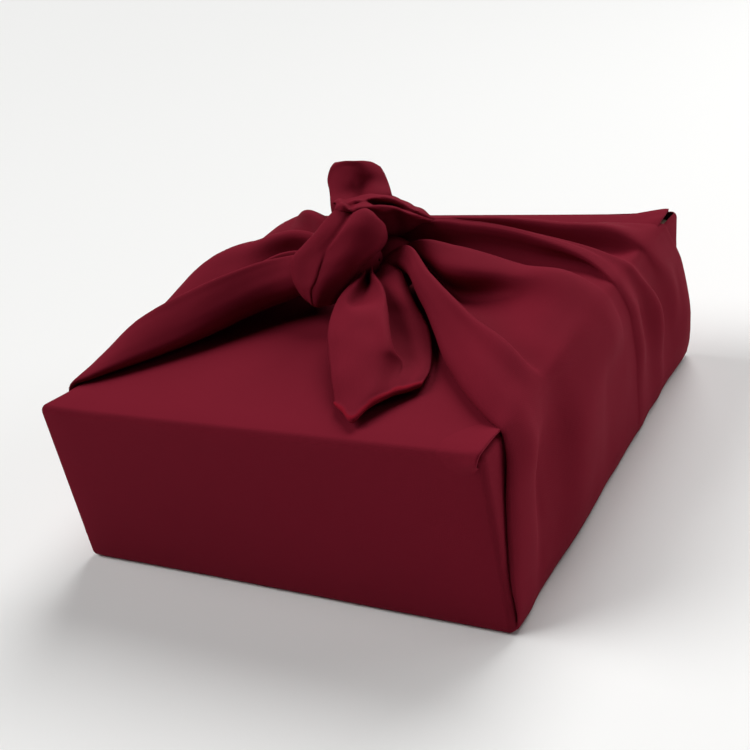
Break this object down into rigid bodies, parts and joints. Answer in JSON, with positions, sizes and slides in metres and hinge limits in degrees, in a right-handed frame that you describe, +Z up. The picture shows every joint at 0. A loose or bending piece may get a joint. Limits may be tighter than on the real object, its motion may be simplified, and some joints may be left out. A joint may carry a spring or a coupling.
{
  "type": "furoshiki cloth tied round a flat box",
  "caption": "Plain square wrapping cloth folded over a flat closed box, its gathered sides drawn up and tied on top with two free tails.",
  "frame": {"origin": "centre of the wrap's flat underside", "axes": "+Z up, +X to the right along the smooth front face, -Y towards the front, where the front tail hangs"},
  "size_m": [0.2692, 0.268, 0.1625],
  "materials": {
    "burgundy_cloth": "matt fine plain weave with a soft sheen",
    "plain_board": "uncoated card board"
  },
  "bodies": {
    "root": {"furoshiki_cloth": "burgundy_cloth", "wrapped_box": "plain_board"}
  },
  "joints": []
}
